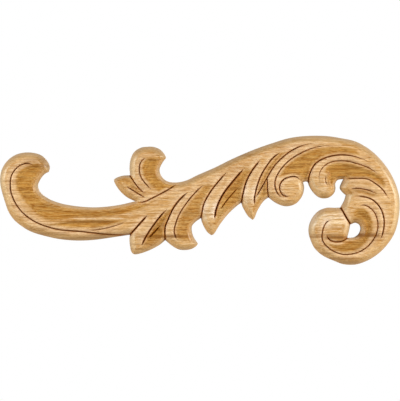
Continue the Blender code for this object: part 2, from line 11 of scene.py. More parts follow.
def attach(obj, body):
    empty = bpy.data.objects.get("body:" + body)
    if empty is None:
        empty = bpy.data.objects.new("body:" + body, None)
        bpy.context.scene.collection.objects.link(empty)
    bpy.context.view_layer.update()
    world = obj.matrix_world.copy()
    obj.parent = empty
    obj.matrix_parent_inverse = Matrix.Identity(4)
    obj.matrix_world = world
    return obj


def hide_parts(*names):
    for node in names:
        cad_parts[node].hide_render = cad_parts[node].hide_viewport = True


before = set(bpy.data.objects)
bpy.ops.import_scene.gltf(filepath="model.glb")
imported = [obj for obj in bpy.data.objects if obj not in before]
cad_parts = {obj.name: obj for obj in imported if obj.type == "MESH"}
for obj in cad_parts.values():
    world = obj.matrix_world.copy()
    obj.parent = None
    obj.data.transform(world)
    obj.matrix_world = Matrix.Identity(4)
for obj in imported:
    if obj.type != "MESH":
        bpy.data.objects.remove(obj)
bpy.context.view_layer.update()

# The form, in metres. It is the one in the part's source, but for narrower and shallower
# grooves, which this finer mesh can carry.
LENGTH = 0.300
THICKNESS = 0.012
EDGE_SHARE = 0.58
ROUNDOVER_WIDTH = 0.0048
CROWN_WIDTH = 0.010
CROWN_RISE = 0.0010
GROOVE_DEPTH = 0.0020
GROOVE_HALF_WIDTH = 0.00060
SHOULDER_DROP = 0.0017
SHOULDER_WIDTH = 0.0024
HOLLOW_DEPTH = 0.0014
LEAST_WOOD = 0.0030

# How far the marks reach that tell the oak where it takes staining and painted shade, or a painted
# highlight, in metres, and what is added to a hollow's share of depth for its staining and painted
# shade.
RIB_HIGHLIGHT_WIDTH = 0.0055
GROOVE_STAIN_AND_SHADE_WIDTH = 0.00108
STAIN_AND_SHADE_SPREAD = 0.0012
STAIN_AND_SHADE_BANK = 0.0026
STAIN_AND_SHADE_EXTRA = 0.2
BESIDE_REACH = 0.0031
BESIDE_BANK = 0.0014

# The finer mesh, in metres: steps along the curves and across the grid, rows of points on both
# sides of each groove, as shares of its half width, and of each edge, and the distances that
# points keep from the edges (margin) and from each other (gap).
CURVE_STEP = 0.0005
CUT_STEP = 0.0010
OUTLINE_STEP = 0.0006
OUTLINE_SAG = 0.00002
GROOVE_STEP = 0.0006
GRID_STEP = 0.00058
GROOVE_ROWS = (0.35, 0.7, 1.0, 1.4)
LEAST_ROW_SHARE = 0.4
RIM_ROWS = (0.00012, 0.0004, 0.0008, 0.0013, 0.0019)
CUT_MARGIN = 0.0002
CUT_GAP = 0.00015
ROW_MARGIN = 0.00012
RIM_MARGIN = 0.00010
ROW_GAP = 0.00022
GRID_MARGIN = 0.0004
GRID_GAP = GRID_STEP * 0.66
SHARP_DEGREES = 50

# In metres: the shortest length to divide by, the least difference between two distances, the
# gap at which points become one, and the distance of what lies out of reach.
SHORTEST = 1e-9
TIE = 1e-12
MERGED = 1e-7
FAR_OFF = 1e9

# The drawing, x to the right and y downwards: its length and its origin in units of its own,
# and the size of one unit in metres.
DRAWN_LENGTH = 398.8
DRAWN_ORIGIN = (200.0, 200.0)
UNIT = LENGTH / DRAWN_LENGTH

# The photograph's frame, in drawn units.
FRAME_WIDTH = 400
FRAME_MIDDLE = (200.0, 200.5)

# The studio, in metres. Each lamp has a place, a size and a power in watts.
CAMERA_AWAY = 1.6
SENSOR_WIDTH = 36.0
CLIP_START = 0.05
FLOOR_Z = -0.40
FLOOR_CORNERS = ((-0.9, -0.7), (0.9, -0.7), (0.9, 0.6), (-0.9, 0.6))
FLOOR_COLOUR = (0.86, 0.86, 0.86, 1.0)
FLOOR_ROUGHNESS = 0.8
SURROUND_LIGHT = 0.12
LAMPS = (
    ("right_box", (1.12, -0.46, 0.34), 0.50, 16.0),
    ("left_box", (-1.07, -0.50, 0.32), 0.50, 11.9),
    ("front_box", (0.00, -1.40, 0.50), 0.50, 3.6),
    ("back_box", (0.40, 1.20, 0.60), 0.60, 9.0),
)

# The outline, clockwise from the crotch between the stem and the first leaf.
# Each run is one smooth curve that starts where the last one ends, and runs meet in corners.
OUTLINE = (
    # Underside of the stem and outer side of the hook.
    ((110.6, 237.6), (95.3, 239.7), (79.7, 240.5), (64.4, 239.6), (51.0, 237.3), (31.3, 231.5),
     (22.3, 226.2), (14.3, 219.5), (8.9, 211.4), (5.6, 202.4), (1.5, 188.0), (0.4, 179.0),
     (2.5, 169.0), (7.7, 161.0), (15.3, 155.3), (23.7, 152.8), (32.9, 152.8), (40.6, 155.0),
     (46.7, 160.3), (49.6, 167.0), (48.6, 171.8)),
    # Inner side of the hook and top of the stem.
    ((45.2, 173.5), (41.3, 177.5), (37.8, 185.5), (40.2, 192.1), (48.0, 198.4), (58.7, 202.8),
     (70.2, 205.3), (85.0, 207.0), (99.0, 207.2), (118.3, 205.1), (135.2, 201.3)),
    # Small lobe beside the curl, to its tip and back.
    ((126.8, 197.0), (119.2, 189.8), (114.6, 182.1), (114.0, 179.8)),
    ((116.5, 177.9), (120.3, 176.4), (124.1, 175.6), (130.2, 175.3)),
    # Outer side of the small curl.
    ((129.7, 168.0), (130.8, 159.2), (134.5, 151.9), (141.4, 147.7), (147.1, 146.9),
     (152.8, 146.9), (159.9, 149.4), (164.9, 154.9), (166.1, 157.8)),
    # Inner side of the curl, the long arch and the outer side of the great scroll.
    ((162.2, 163.0), (159.6, 169.5), (161.1, 175.6), (166.5, 180.9), (174.9, 182.5),
     (185.7, 180.7), (197.2, 175.3), (214.4, 167.8), (231.8, 159.2), (254.7, 149.4),
     (273.3, 142.9), (288.4, 138.4), (304.5, 136.2), (325.9, 136.2), (340.0, 138.2),
     (356.1, 142.0), (371.8, 151.6), (385.2, 165.9), (394.0, 181.2), (398.7, 196.8),
     (398.7, 214.0), (394.7, 231.3), (388.4, 242.4), (379.0, 252.6), (368.3, 259.8),
     (357.2, 264.0), (349.7, 264.7), (342.0, 263.8), (332.5, 260.2), (324.5, 256.6),
     (318.2, 252.0), (313.8, 246.8), (310.9, 240.5), (309.0, 234.4), (308.6, 229.0),
     (309.9, 223.0), (313.4, 216.3), (319.1, 210.7), (326.8, 207.8), (334.4, 207.7),
     (340.4, 207.6)),
    # Inner side of the scroll, up to the notch.
    ((344.3, 200.4), (345.9, 195.1)),
    ((342.8, 192.5), (339.9, 188.2), (341.2, 183.5), (343.4, 179.2)),
    # Round the sixth leaf's curled end.
    ((340.2, 179.4), (336.9, 180.4), (334.9, 184.0), (335.2, 188.1), (333.8, 193.0),
     (328.0, 197.8), (320.1, 197.8), (313.2, 192.4), (308.8, 185.0), (307.8, 182.0)),
    ((305.6, 181.5), (302.9, 182.4)),
    # Round the fifth leaf's ball.
    ((303.9, 187.5), (302.1, 195.6), (295.6, 203.6), (286.0, 206.3), (276.5, 203.3),
     (268.3, 197.4)),
    # The tips of the fourth, third, second and first leaves.
    ((263.6, 201.0), (257.5, 210.2), (254.1, 218.3), (252.5, 219.8)),
    ((248.3, 216.4), (243.0, 207.6), (241.2, 202.7)),
    ((236.1, 206.4), (227.7, 214.4), (220.0, 224.2), (213.6, 234.1), (211.3, 235.2)),
    ((207.1, 231.8), (202.1, 222.6), (200.9, 218.0)),
    ((195.6, 221.8), (192.2, 225.6), (191.8, 230.5), (193.7, 237.1), (197.9, 243.6)),
    ((196.7, 245.5), (193.7, 247.8), (188.7, 249.6), (179.1, 249.4), (171.5, 245.2),
     (165.3, 240.0)),
    ((160.2, 244.4), (148.7, 250.5), (137.2, 254.1), (133.8, 253.9), (131.5, 251.5),
     (130.0, 244.7), (129.6, 239.0), (130.0, 234.7)),
)

# The eye of the great scroll, which is cut right through.
EYE = (
    ((355.0, 222.8), (359.2, 224.6), (360.6, 228.4), (359.0, 233.4), (354.8, 237.0),
     (346.8, 237.7)),
    ((348.4, 231.8), (350.0, 224.4)),
)

# The cuts of the carving. Each one is a V groove along a curve, and its fields are:
# rib, the side of travel on which a rounded rib starts, L, R or B for both;
# fade, the lengths over which the groove runs out at its start and its end;
# deep, the depth of the groove as a share of GROOVE_DEPTH.
CUTS = {
    "hook": dict(
        path=((36.4, 167.2), (30.6, 163.8), (23.9, 164.3), (17.2, 168.4), (12.6, 175.4),
              (11.2, 184.0), (12.5, 194.2), (20.7, 209.4), (35.1, 221.2), (57.0, 229.0),
              (83.6, 231.6), (106.8, 234.2), (129.6, 235.2)),
        rib="B", fade=(10, 10), deep=0.7),
    "stem": dict(
        path=((87.0, 231.0), (103.0, 228.8), (114.4, 226.0), (127.8, 221.5)),
        rib="B", fade=(10, 16), deep=0.45),
    "curl": dict(
        path=((146.5, 157.2), (141.5, 162.1), (139.9, 168.7), (141.3, 176.7), (146.7, 184.4),
              (152.5, 189.8)),
        rib="R", fade=(5, 8), deep=0.6),
    "lobe": dict(
        path=((130.2, 175.6), (135.3, 183.5), (141.9, 191.1), (147.5, 194.2)),
        rib="L", fade=(0, 8), deep=0.75),
    "lobe_vein": dict(
        path=((126.5, 186.0), (135.6, 191.7), (143.3, 196.3), (146.5, 198.2)),
        rib="R", fade=(5, 6), deep=0.65),
    "curl_base": dict(
        path=((136.0, 201.8), (143.5, 202.0), (152.8, 197.8), (165.3, 191.3), (178.5, 183.3)),
        rib="R", fade=(8, 8), deep=0.75),
    "leaf_1": dict(
        path=((130.0, 235.0), (139.4, 224.3), (148.8, 214.0)),
        rib="B", fade=(0, 7), deep=1.0),
    "leaf_1_rib": dict(
        path=((141.3, 246.5), (147.2, 235.0), (154.7, 223.9), (162.3, 214.3), (169.0, 207.6)),
        rib="L", fade=(6, 12), deep=1.0),
    "leaf_1_vein": dict(
        path=((149.0, 237.6), (157.5, 228.7), (161.4, 224.8)),
        rib="L", fade=(2, 6), deep=0.95),
    "leaf_2": dict(
        path=((165.3, 240.0), (165.1, 227.5), (169.0, 217.2), (173.6, 207.6), (180.0, 199.3),
              (188.6, 191.3)),
        rib="R", fade=(0, 8), deep=0.95),
    "leaf_2_rib": dict(
        path=((177.6, 240.6), (174.5, 231.4), (176.1, 223.1), (179.9, 213.5), (188.5, 200.7),
              (197.5, 190.5), (204.5, 184.3)),
        rib="L", fade=(6, 10), deep=0.7),
    "leaf_3": dict(
        path=((200.9, 218.0), (203.7, 204.0), (209.8, 192.5), (218.3, 181.4), (227.4, 171.2)),
        rib="R", fade=(0, 9), deep=0.85),
    "leaf_3_rib": dict(
        path=((214.3, 220.5), (216.7, 207.8), (223.0, 194.4), (231.0, 183.7), (245.2, 167.0)),
        rib="L", fade=(6, 10), deep=1.1),
    "leaf_3_vein": dict(
        path=((220.0, 209.6), (227.9, 198.9), (238.4, 187.2)),
        rib="L", fade=(5, 6), deep=0.75),
    "leaf_4": dict(
        path=((241.2, 202.7), (242.6, 194.0), (246.3, 180.6), (252.5, 169.5), (261.0, 158.8)),
        rib="R", fade=(0, 8), deep=0.95),
    "leaf_4_rib": dict(
        path=((254.4, 205.2), (254.2, 199.1), (256.5, 187.8), (260.6, 176.1), (266.4, 166.2),
              (272.8, 158.0), (280.5, 152.2)),
        rib="L", fade=(4, 8), deep=0.85),
    "leaf_5": dict(
        path=((254.9, 198.0), (261.4, 187.1), (266.8, 177.5), (274.4, 165.3), (283.8, 156.0),
              (293.4, 149.4), (304.9, 144.9), (317.0, 142.6)),
        rib="R", fade=(6, 24), deep=0.75),
    "leaf_5_side": dict(
        path=((268.3, 197.4), (267.0, 190.0), (267.0, 177.6)),
        rib="R", fade=(0, 3), deep=0.7),
    "leaf_5_rib": dict(
        path=((283.5, 199.2), (276.6, 192.0), (274.7, 182.5), (278.5, 172.4), (287.7, 161.7),
              (299.1, 154.1), (312.6, 148.3), (327.8, 146.0), (345.0, 145.8)),
        rib="L", fade=(10, 50), deep=0.7),
    "ball": dict(
        path=((289.5, 197.4), (282.0, 194.9), (279.0, 188.0), (281.1, 181.5), (286.5, 177.8),
              (295.6, 176.9), (302.1, 182.6)),
        rib="R", fade=(5, 12), deep=0.78),
    "leaf_6": dict(
        path=((307.8, 182.0), (308.9, 174.6), (314.2, 164.3), (321.4, 159.4), (331.7, 156.0),
              (345.7, 155.3), (361.2, 159.0), (374.0, 165.8)),
        rib="R", fade=(0, 34), deep=0.85),
    "leaf_6_rib": dict(
        path=((320.6, 188.0), (318.8, 182.5), (318.6, 177.0), (320.2, 170.8), (324.0, 165.9),
              (331.7, 162.0), (345.7, 161.5), (357.0, 164.2), (368.6, 168.6), (378.5, 175.4)),
        rib="L", fade=(30, 12), deep=0.6),
    "leaf_6_curl": dict(
        path=((325.6, 175.5), (325.2, 180.9), (328.0, 187.4)),
        rib="R", fade=(4, 5), deep=0.25),
    "leaf_7": dict(
        path=((342.6, 178.9), (348.3, 178.8), (357.8, 178.5), (366.8, 179.2), (374.4, 183.4),
              (381.9, 189.7), (388.8, 200.6)),
        rib="R", fade=(8, 12), deep=0.6),
    "leaf_7_rib": dict(
        path=((347.6, 189.4), (357.2, 188.6), (367.5, 190.4), (376.8, 194.3)),
        rib="L", fade=(8, 8), deep=0.65),
    "leaf_8": dict(
        path=((350.0, 196.6), (360.3, 196.3), (371.8, 199.8), (380.2, 209.2), (383.3, 221.0),
              (381.8, 233.3), (378.6, 241.0)),
        rib="R", fade=(14, 9), deep=0.78),
    "leaf_8_rib": dict(
        path=((355.0, 207.0), (362.9, 205.2), (369.3, 208.1), (374.0, 213.6), (376.7, 222.7),
              (375.6, 232.8), (370.3, 242.1), (363.4, 248.6), (355.3, 252.7), (343.0, 254.1),
              (331.8, 250.1), (322.6, 241.3), (321.8, 232.9), (325.7, 222.5), (333.0, 219.2)),
        rib="L", fade=(14, 9), deep=0.65),
    "scroll_ball": dict(
        path=((324.9, 234.4), (329.5, 240.2), (336.4, 241.9), (342.5, 240.6), (346.8, 237.7)),
        rib="L", fade=(5, 0), deep=0.8),
    "notch": dict(
        path=((340.4, 207.6), (345.4, 217.1), (350.0, 224.4)),
        rib="B", fade=(0, 0), deep=1.0),
}

# The hollows between the ribs. Each one is scooped out inside a closed outline like the one
# above, and its fields are:
# bank, the length over which it falls from its edge to its full depth;
# deep, that depth as a share of HOLLOW_DEPTH.
HOLLOWS = {
    "hook": dict(
        runs=(((38.8, 174.0), (35.0, 180.0), (33.8, 186.6), (36.4, 194.2), (44.0, 201.4),
               (55.6, 206.4), (69.0, 209.2), (85.0, 211.0), (100.0, 211.2), (118.0, 209.2),
               (136.0, 205.6), (148.0, 202.8), (160.0, 197.2)),
              ((147.0, 206.2), (131.0, 211.8), (112.0, 216.2), (95.0, 217.2), (75.0, 217.6),
               (62.0, 219.4), (50.0, 220.3), (38.0, 214.3), (29.0, 205.5), (22.0, 196.5),
               (17.7, 188.0), (16.9, 180.5), (18.7, 173.8), (24.0, 168.8), (31.1, 165.2),
               (37.6, 163.4), (42.6, 166.6))),
        bank=5.0, deep=0.80),
    "stem": dict(
        runs=(((62.0, 222.0), (74.0, 220.2), (90.0, 219.6), (108.0, 219.6), (127.0, 220.0)),
              ((116.0, 223.4), (103.0, 226.4), (88.0, 227.6), (70.0, 227.0), (51.0, 224.6))),
        bank=3.5, deep=1.0),
    "curl": dict(
        runs=(((144.1, 162.0), (142.5, 168.6), (143.9, 175.9), (149.0, 183.1), (158.5, 192.0)),
              ((168.0, 187.4), (176.0, 183.6)),
              ((168.5, 184.6), (162.2, 182.2), (158.0, 177.0), (156.4, 170.0), (157.0, 165.0),
               (159.4, 161.0)),
              ((157.0, 158.3), (152.5, 157.4), (148.0, 157.8))),
        bank=5.0, deep=0.80),
    "lobe": dict(
        runs=(((131.4, 179.7), (135.9, 186.4), (140.8, 191.6), (146.9, 195.9)),
              ((140.3, 194.0), (133.9, 190.1), (126.5, 185.0), (120.5, 181.0)),
              ((125.5, 178.4),)),
        bank=3.0, deep=0.50),
    "leaf_1": dict(
        runs=(((162.7, 215.7), (155.8, 224.7), (149.9, 233.2), (145.7, 241.1), (143.8, 245.6)),
              ((150.0, 243.2), (157.0, 240.0), (163.5, 236.0)),
              ((163.8, 229.0), (166.3, 220.5), (170.0, 212.0), (172.5, 207.0))),
        bank=4.0, deep=0.80),
    "leaf_2": dict(
        runs=(((198.8, 191.5), (190.3, 201.5), (182.0, 213.5), (177.7, 222.6), (176.0, 231.0),
               (177.9, 238.8)),
              ((183.2, 240.2), (189.0, 239.6)),
              ((188.6, 233.0), (188.6, 227.0), (191.5, 222.2), (199.6, 215.2)),
              ((201.0, 207.5), (204.6, 198.0), (210.2, 189.5), (212.0, 185.8)),
              ((208.5, 184.6), (205.0, 185.5))),
        bank=5.0, deep=0.60),
    "leaf_3": dict(
        runs=(((234.2, 181.1), (226.2, 191.0), (219.5, 203.0), (216.5, 212.6), (215.4, 222.2)),
              ((220.0, 218.0), (227.0, 210.6), (234.0, 204.6), (240.2, 200.8)),
              ((241.4, 193.0), (243.8, 184.0), (247.5, 175.5), (251.0, 170.0)),
              ((244.5, 169.5),)),
        bank=4.5, deep=0.70),
    "leaf_4": dict(
        runs=(((273.8, 159.2), (267.4, 167.2), (261.6, 177.6), (257.6, 188.5), (255.5, 197.5)),
              ((260.5, 187.2), (265.9, 177.9), (273.4, 165.3), (281.0, 156.5), (286.5, 152.4)),
              ((281.0, 152.6),)),
        bank=2.5, deep=0.65),
    "leaf_4_tip": dict(
        runs=(((261.7, 187.8), (257.3, 196.5), (255.3, 202.0), (255.4, 209.5)),
              ((259.1, 204.2), (263.0, 199.2), (267.1, 195.6)),
              ((266.2, 188.0), (266.5, 179.5))),
        bank=3.0, deep=0.65),
    "arch": dict(
        runs=(((329.0, 147.4), (314.0, 149.6), (300.5, 155.2), (289.5, 163.0), (281.6, 171.7),
               (279.0, 177.2)),
              ((286.1, 175.2), (294.0, 174.0), (299.9, 176.3), (303.8, 180.6)),
              ((306.9, 179.6),),
              ((308.0, 173.4), (313.0, 164.1), (320.6, 158.1), (331.0, 154.4), (345.0, 153.4),
               (359.8, 156.2)),
              ((355.0, 150.5), (346.0, 147.4))),
        bank=6.0, deep=0.75),
    "leaf_6": dict(
        runs=(((368.9, 170.4), (357.3, 166.0), (345.8, 163.3), (332.2, 163.8), (325.8, 167.3),
               (324.4, 171.5)),
              ((326.8, 175.5), (326.8, 181.0), (329.6, 186.6), (331.6, 187.0), (333.0, 183.8),
               (334.4, 180.4), (337.6, 178.8)),
              ((345.0, 177.6), (358.0, 177.0), (367.5, 177.6), (376.0, 182.0), (383.8, 188.2)),
              ((383.0, 181.0), (379.0, 176.0))),
        bank=4.0, deep=0.80),
    "leaf_7": dict(
        runs=(((357.0, 189.9), (366.9, 191.7), (377.8, 196.1)),
              ((369.9, 196.5), (363.4, 194.3), (357.0, 192.8), (348.0, 190.6))),
        bank=2.0, deep=0.55),
    "scroll": dict(
        runs=(((358.5, 208.0), (362.5, 208.2), (366.2, 210.9), (369.3, 215.9), (371.4, 223.0),
               (370.6, 231.5), (366.8, 239.6), (361.1, 246.1), (354.0, 250.6), (343.0, 251.8),
               (333.0, 248.4), (325.6, 242.8)),
              ((330.0, 243.8), (337.0, 245.0), (344.5, 243.1), (350.0, 240.9), (356.0, 240.4),
               (361.5, 237.0), (364.4, 231.0), (364.2, 225.0), (361.6, 220.6), (356.0, 218.2)),
              ((353.4, 215.6), (353.4, 211.4), (355.6, 208.4))),
        bank=5.0, deep=0.80),
    "scroll_lip": dict(
        runs=(((327.0, 235.4), (331.5, 239.2), (337.0, 240.8), (342.5, 239.6), (346.4, 237.0)),
              ((340.0, 236.2), (333.0, 235.2))),
        bank=2.0, deep=0.50),
}

# Darker and lighter lines, many of them the board's grain; some are painted shade, along the lower
# rims and under the scroll's ball, and the thin light line along the stem is a painted highlight.
# Fields: drawn height, half height, left end, right end and strength, where a strength under 0 is
# a light line.
STREAKS = (
    (160.5, 3.5, 18, 56, 0.30),
    (166.0, 2.6, 22, 58, 0.45),
    (222.0, 2.2, 56, 126, 0.50),
    (237.4, 1.8, 66, 122, 0.45),
    (218.6, 0.8, 54, 146, -0.42),
    (234.6, 2.0, 84, 140, 0.55),
    (236.2, 2.1, 128, 200, 0.75),
    (235.2, 3.0, 350, 384, 0.85),
    (233.8, 1.2, 366, 398, 0.40),
    (234.6, 1.6, 304, 350, 0.50),
    (177.6, 1.3, 342, 376, 0.40),
    (168.6, 1.6, 330, 366, 0.40),
    (173.2, 1.4, 336, 372, 0.35),
    (167.5, 2.2, 286, 306, 0.40),
    (155.5, 2.2, 226, 262, 0.30),
    (219.0, 2.0, 356, 372, 0.35),
    (188.5, 1.6, 16, 34, 0.30),
    (196.5, 1.6, 18, 38, 0.25),
    (216.6, 1.0, 58, 122, 0.35),
    (220.0, 11.0, 304, 350, -0.58),
    (210.0, 13.0, 198, 228, -0.55),
    (188.5, 9.0, 306, 336, -0.25),
    (237.6, 2.6, 318, 352, 0.75),
    (236.8, 2.0, 302, 328, 0.50),
    (193.0, 13.0, 236, 266, -0.40),
    (228.5, 3.0, 22, 54, 0.32),
    (233.4, 2.6, 32, 74, 0.38),
    (238.2, 2.0, 52, 112, 0.30),
    (229.5, 4.0, 151, 164, 0.38),
    (236.6, 1.3, 147, 166, 0.42),
    (236.8, 1.6, 177, 190, 0.38),
    (246.0, 4.5, 343, 366, 0.26),
    (253.0, 1.8, 310, 340, 0.40),
    (258.4, 2.2, 318, 362, 0.45),
    (247.6, 1.4, 304, 324, 0.30),
    (262.0, 2.0, 330, 366, 0.35),
    (244.0, 1.6, 126, 160, 0.35),
    (248.6, 1.6, 126, 152, 0.30),
    (226.0, 1.2, 140, 170, 0.30),
    (172.5, 1.2, 2, 26, 0.30),
    (181.0, 1.4, 0, 24, 0.30),
    (193.5, 1.2, 0, 22, 0.30),
    (205.5, 1.4, 4, 30, 0.30),
)

# Each streak is full up to this share of its half height, fades in and out over this share of
# its length, and follows this share of the grain's sway.
STREAK_CORE = 0.25
STREAK_FADE = 0.3
STREAK_SWAY = 0.35
STREAK_LIGHT = (1.28, 1.60, 2.30, 1.0)

# The grain sways up and down slowly, by a noise of this scale, in drawn units.
SWAY_SCALE = (0.012, 0.03, 0.03)
SWAY_HEIGHT = 6.0

# The patterns of the grain. Each is a noise, with its scale along each drawn axis, its offset,
# its detail and its roughness.
GRAIN = {
    "broad": ((0.007, 0.05, 0.06), (3.1, 0.0, 7.7), 3, 0.55),
    "bands": ((0.016, 0.20, 0.34), (9.0, 2.0, 1.5), 3, 0.6),
    "lines": ((0.024, 0.50, 0.80), (5.0, 2.0, 6.0), 2, 0.6),
    "dashes": ((0.060, 0.30, 0.40), (1.0, 5.0, 4.0), 2, 0.5),
    "fine": ((0.11, 1.1, 1.9), (4.0, 1.0, 8.0), 2, 0.6),
    "pores": ((0.30, 3.0, 4.6), (6.0, 3.0, 2.0), 2, 0.5),
}

# The layers of the figure, in order: the pattern, the value of it where the layer is out and
# the value where it is full, its strength, what a hollow adds to that, and its colour.
LAYERS = (
    ("bands", 0.42, 0.62, 0.50, 0.00, "band"),
    ("lines", 0.50, 0.66, 0.60, 0.14, "dark_line"),
    ("lines", 0.50, 0.34, 0.40, 0.00, "light_line"),
    ("dashes", 0.48, 0.66, 0.15, 0.40, "dash"),
    ("fine", 0.58, 0.36, 0.46, 0.00, "light_fibre"),
    ("pores", 0.52, 0.66, 0.56, 0.00, "pore"),
)

# The colours of the oak, as sRGB codes.
COLOURS = {
    "ground": "D8A664",
    "deep_ground": "C6904A",
    # The next one is a painted highlight on the ribs beside the grooves.
    "rib": "F6D4AA",
    "band": "AE7834",
    "dark_line": "9A6420",
    "light_line": "F2D09A",
    "dash": "8E5C18",
    "light_fibre": "F6DCB0",
    "pore": "8C5620",
    # The next one is staining in the hollows, and painted shade there.
    "hollow_stain_and_shade": "DCC57E",
    # The next three: painted light and shade on the rounded rim, lighter at the sides and darker
    # on top and below.
    "worn_side": "DCC498",
    "worn_top": "AD8C5E",
    "worn_underside": "B48A4A",
    # The next three: a greyer line of painted shade along the very edge, in tones by the way it
    # faces.
    "pale_side": "AE9472",
    "pale_top": "BEA07C",
    "pale_underside": "BA9260",
    # The next one darkens grain lines, and also paints shade along the lower rims and under the
    # scroll's ball.
    "dark_streak": "80501C",
    # The next two: staining pooled in the grooves, and painted shade there.
    "groove_bank": "A05C08",
    "groove_floor": "702E00",
    "raw": "D9B98C",
    "raw_band": "C49C68",
    "raw_pore": "94693A",
}

# The ramps of the oak, each over a pattern, a mark or the way that the surface faces: the two
# values between which it runs, and its strengths at them where they aren't 0 and 1.
RAMPS = {
    "deep_ground": (0.36, 0.66),
    "lip_start": (0.0, 0.10),
    "lip_end": (0.52, 0.68, 0.62, 0.0),
    "under": (-0.45, -0.05, 1.0, 0.0),
    "above": (0.12, 0.45),
    "behind": (0.5, 0.7),
    "worn": (0.0, 0.26, 0.0, 0.44),
    "pale": (0.40, 0.84, 0.0, 0.72),
    "groove_bank": (0.0, 0.42, 0.0, 0.85),
    "groove_floor": (0.42, 0.95, 0.0, 0.90),
    "raw_band": (0.4, 0.7),
    "raw_pore": (0.56, 0.70, 0.0, 0.5),
    "rough_pore": (0.45, 0.70, 0.40, 0.56),
    "rough_groove": (0.0, 0.5, 0.0, 0.95),
    "coat_in_groove": (0.0, 0.4, 0.30, 0.0),
    "coat_in_hollow": (0.0, 1.0, 1.0, 0.25),
    "coat_on_back": (0.0, 1.0, 1.0, 0.0),
    "sunken_pore": (0.56, 0.72, 0.0, -1.0),
}

# How much of the ribs' painted highlight and of the hollows' staining and painted shade shows, and
# the gloss.
RIB_HIGHLIGHT_SHARE = 0.90
HOLLOW_SHARE = 0.85
RAW_ROUGHNESS = 0.8
SPECULAR = 0.06
COAT_ROUGHNESS = 0.27

# The finest relief: how strong it is and its height in metres, the shares of the fibres and of
# the saw marks in it, and the scale and offset of the saw marks.
BUMP_STRENGTH = 0.35
BUMP_HEIGHT = 0.0001
FIBRE_RELIEF = 0.35
SAW_RELIEF = 2.0
SAW_MARKS = ((0.9, 0.0, 0.03), (2.0, 0.0, 5.0))


def to_metres(points):
    """Turns drawn points into metres, X to the right and Z upwards."""
    points = np.asarray(points, float)
    return np.column_stack([
        (points[:, 0] - DRAWN_ORIGIN[0]) * UNIT,
        (DRAWN_ORIGIN[1] - points[:, 1]) * UNIT,
    ])


def smooth_curve(points, step):
    """A smooth curve through the points, in steps of about the given length."""
    first = 2 * points[0] - points[1]
    last = 2 * points[-1] - points[-2]
    knots = [first, *points, last]
    made = []
    for a, b, c, d in zip(knots, knots[1:], knots[2:], knots[3:]):
        t1 = math.sqrt(np.linalg.norm(b - a))
        t2 = t1 + math.sqrt(np.linalg.norm(c - b))
        t3 = t2 + math.sqrt(np.linalg.norm(d - c))
        count = max(2, math.ceil(np.linalg.norm(c - b) / step))
        for k in range(count):
            t = t1 + (t2 - t1) * k / count
            ab = (a * (t1 - t) + b * t) / t1
            bc = (b * (t2 - t) + c * (t - t1)) / (t2 - t1)
            cd = (c * (t3 - t) + d * (t - t2)) / (t3 - t2)
            abc = (ab * (t2 - t) + bc * t) / t2
            bcd = (bc * (t3 - t) + cd * (t - t1)) / (t3 - t1)
            made.append((abc * (t2 - t) + bcd * (t - t1)) / (t2 - t1))
    made.append(points[-1])
    return np.array(made)


def thin_curve(curve, step, sag):
    """Leaves out points while the chord stays shorter than step and within sag of the curve."""
    kept = [0]
    for k in range(1, len(curve) - 1):
        a = curve[kept[-1]]
        along = curve[k + 1] - a
        length = max(np.linalg.norm(along), SHORTEST)
        between = curve[kept[-1] + 1:k + 1] - a
        off = np.abs(along[0] * between[:, 1] - along[1] * between[:, 0]) / length
        if length > step or off.max() > sag:
            kept.append(k)
    kept.append(len(curve) - 1)
    return curve[kept]


def even_curve(curve, step):
    """The same curve in equal steps of about the given length."""
    lengths = np.r_[0, np.cumsum(np.linalg.norm(np.diff(curve, axis=0), axis=1))]
    count = max(2, round(lengths[-1] / step))
    at = np.linspace(0, lengths[-1], count + 1)
    return np.column_stack([np.interp(at, lengths, curve[:, k]) for k in (0, 1)])


def closed_loop(runs):
    """The corners and smooth runs of an outline as one closed ring of points."""
    start = runs[-1][-1]
    ring = []
    for run in runs:
        curve = smooth_curve(to_metres((start, *run)), CURVE_STEP)
        ring.extend(thin_curve(curve, OUTLINE_STEP, OUTLINE_SAG)[:-1])
        start = run[-1]
    return np.array(ring)


def cut_line(cut):
    """The path of a cut, in metres."""
    return smooth_curve(to_metres(cut["path"]), CUT_STEP)


def nearest(points, line, reach, closed=False):
    """Distance, signed side, place along the line and overshoot past its ends, of each point.

    A point that is further away in X than reach keeps a distance of FAR_OFF. The line's whole
    length comes last.
    """
    starts = line if closed else line[:-1]
    ends = np.roll(line, -1, axis=0) if closed else line[1:]
    along = ends - starts
    lengths = np.linalg.norm(along, axis=1)
    before = np.r_[0, np.cumsum(lengths)]
    order = np.argsort(points[:, 0])
    points = points[order]
    best = np.full(len(points), FAR_OFF)
    side = np.ones(len(points))
    place = np.zeros(len(points))
    beyond = np.zeros(len(points))
    for k in range(len(starts)):
        if lengths[k] < SHORTEST:
            continue
        left, right = sorted((starts[k][0], ends[k][0]))
        low, high = np.searchsorted(points[:, 0], (left - reach, right + reach))
        part = slice(low, high)
        unit = along[k] / lengths[k]
        off = points[part] - starts[k]
        run = off @ unit
        held = np.clip(run, 0, lengths[k])
        gap = np.hypot(*(off - held[:, None] * unit).T)
        closer = gap < best[part] - TIE
        best[part][closer] = gap[closer]
        cross = unit[0] * off[:, 1] - unit[1] * off[:, 0]
        side[part][closer] = np.where(cross[closer] >= 0, 1.0, -1.0)
        place[part][closer] = before[k] + held[closer]
        over = np.abs(run - held)
        first = not closed and k == 0
        last = not closed and k == len(starts) - 1
        at_end = (first & (run < 0)) | (last & (run > lengths[k]))
        beyond[part][closer] = np.where(at_end[closer], over[closer], 0.0)
    back = np.argsort(order)
    return best[back], side[back], place[back], beyond[back], before[-1]


